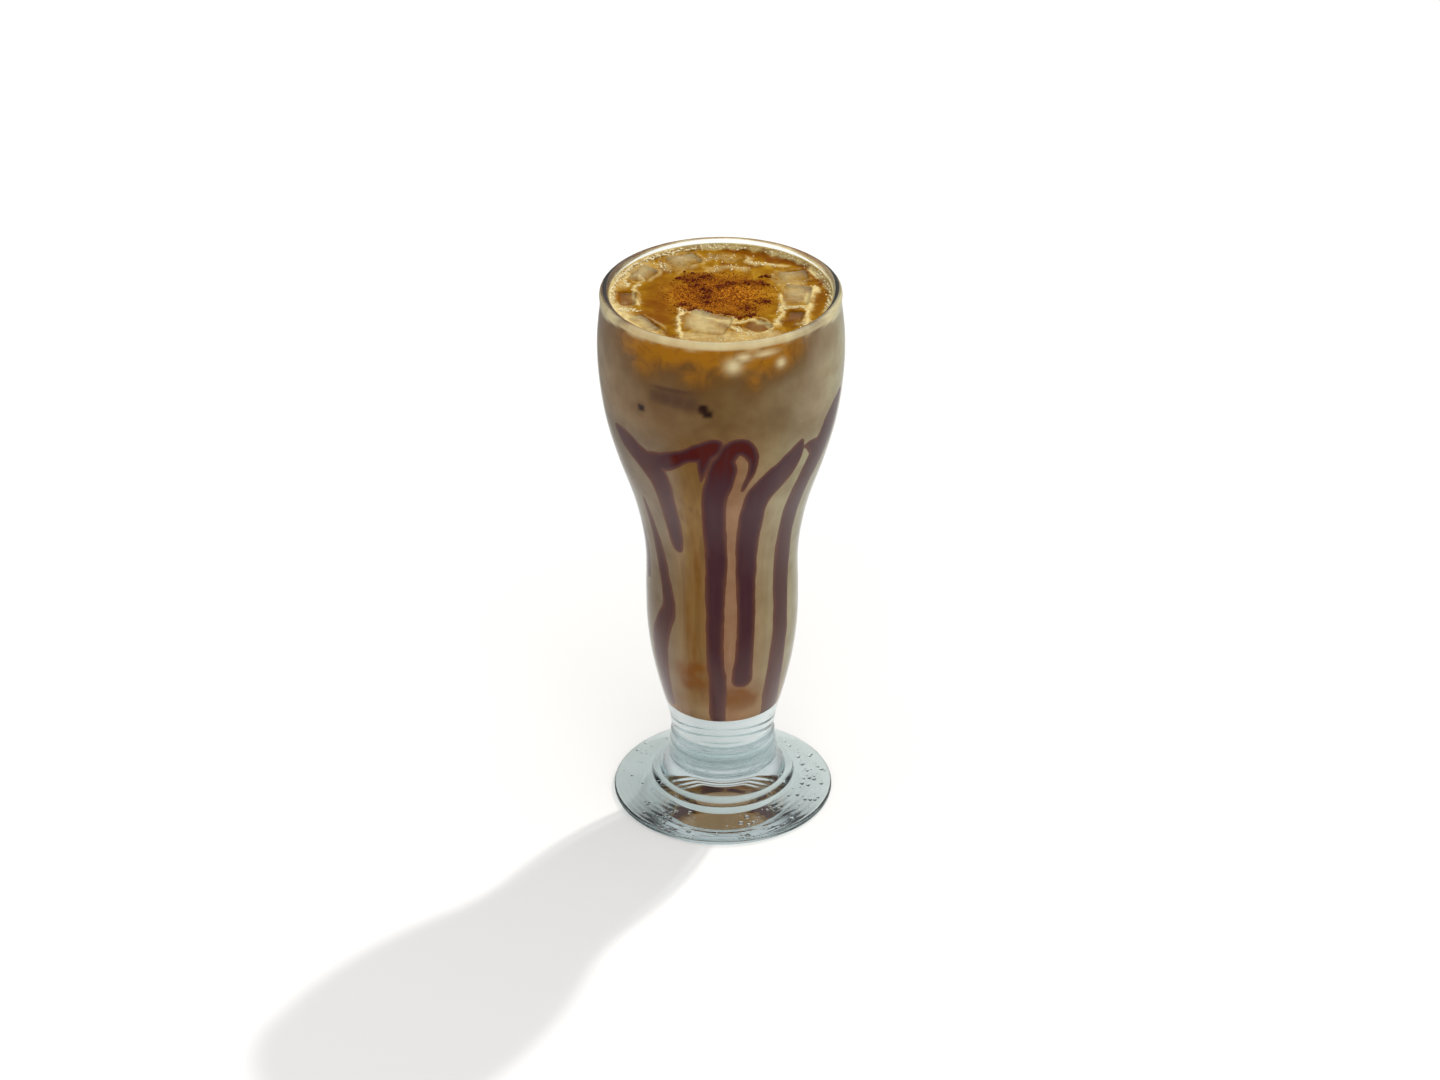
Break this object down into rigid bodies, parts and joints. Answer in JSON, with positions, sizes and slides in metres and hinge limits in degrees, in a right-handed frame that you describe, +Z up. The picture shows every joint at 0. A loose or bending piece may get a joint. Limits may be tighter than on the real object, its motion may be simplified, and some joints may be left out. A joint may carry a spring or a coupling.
{
  "type": "iced coffee in a footed glass",
  "caption": "Milky iced coffee with chocolate sauce streaks, spice powder and ice cubes, in a tall waisted clear glass on a round foot; stands on its foot.",
  "frame": {"origin": "centre of the foot's underside, in the plane that the glass stands on", "axes": "+Z up along the glass's axis; -Y is the side the picture was taken from"},
  "size_m": [0.0818, 0.0818, 0.1945],
  "materials": {
    "glass": "clear pressed soda-lime glass, fire polished, faint blue-green tint",
    "coffee": "wet milky coffee, amber at the top, stands in for a liquid",
    "ice": "wet, slightly cloudy ice",
    "chocolate_sauce": "thin dark chocolate sauce run down the inside of the glass",
    "cream": "wet milk foam",
    "spice_powder": "dry, then wetted, ground cocoa and cinnamon",
    "water": "clear water drops"
  },
  "bodies": {
    "root": {"glass": "glass", "coffee": "coffee", "ice_1": "ice", "ice_2": "ice", "ice_3": "ice", "ice_4": "ice", "ice_5": "ice", "ice_6": "ice", "ice_7": "ice", "ice_8": "ice", "ice_9": "ice"}
  },
  "joints": []
}
